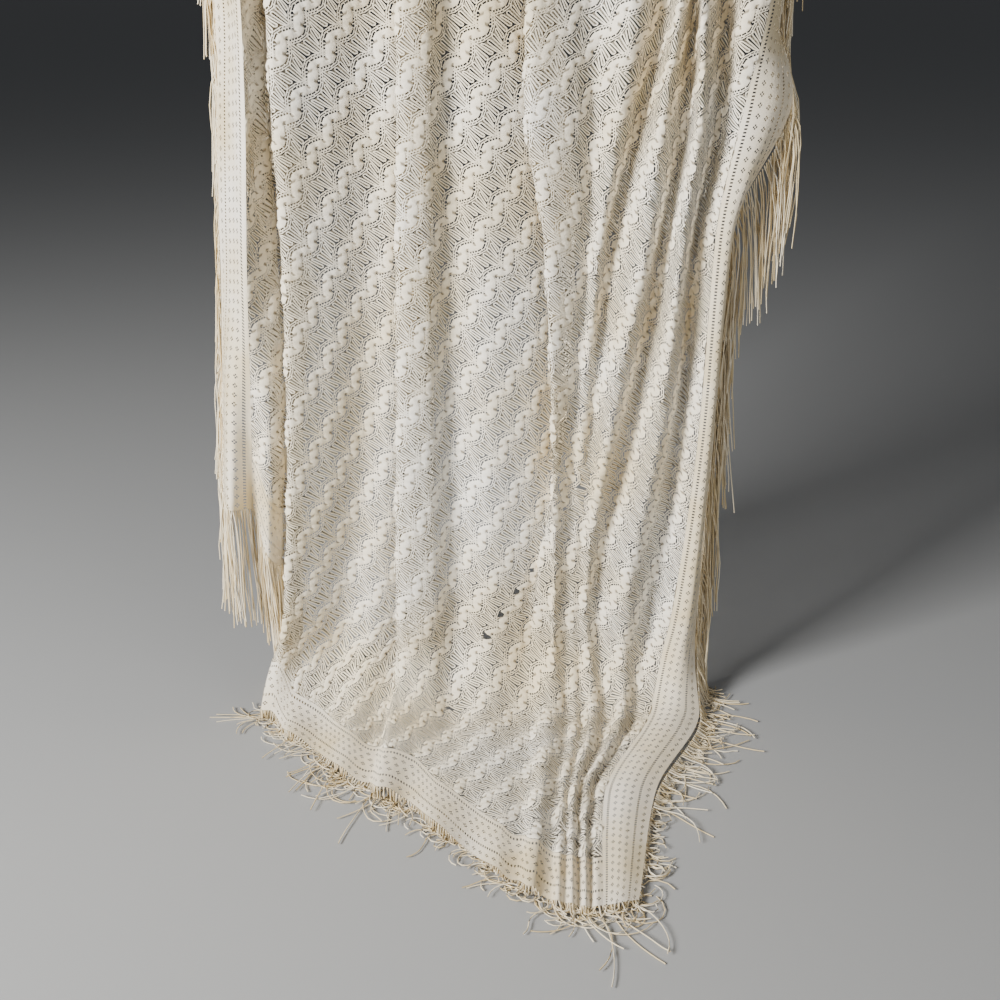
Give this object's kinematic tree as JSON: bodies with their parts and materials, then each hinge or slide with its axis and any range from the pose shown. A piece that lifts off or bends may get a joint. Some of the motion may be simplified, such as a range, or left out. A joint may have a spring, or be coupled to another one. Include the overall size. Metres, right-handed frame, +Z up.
{
  "type": "fringed lace shawl draped over a wooden hanging rod",
  "caption": "Ivory tape-lace shawl with ladder-hemstitched borders and a long silky fringe, draped askew over a round wooden rod, its low corner spread on the floor.",
  "frame": {"origin": "middle of the wooden rod, on its axis, where whatever holds the rod up takes its weight", "axes": "+Z up, +X along the rod to the right as seen from the front, -Y the front, where the long side of the shawl hangs and spreads on the floor"},
  "size_m": [0.64, 0.4853, 1.1842],
  "materials": {
    "rod": "satin",
    "lace": "matte",
    "border": "matte",
    "fringe": "silky"
  },
  "bodies": {
    "root": {"rod": "rod", "panel_front": "lace", "panel_back": "lace", "border_bottom": "border", "border_top": "border", "border_left": "border", "border_right": "border", "fringe_bottom": "fringe", "fringe_top": "fringe", "fringe_left": "fringe", "fringe_right": "fringe"}
  },
  "joints": []
}
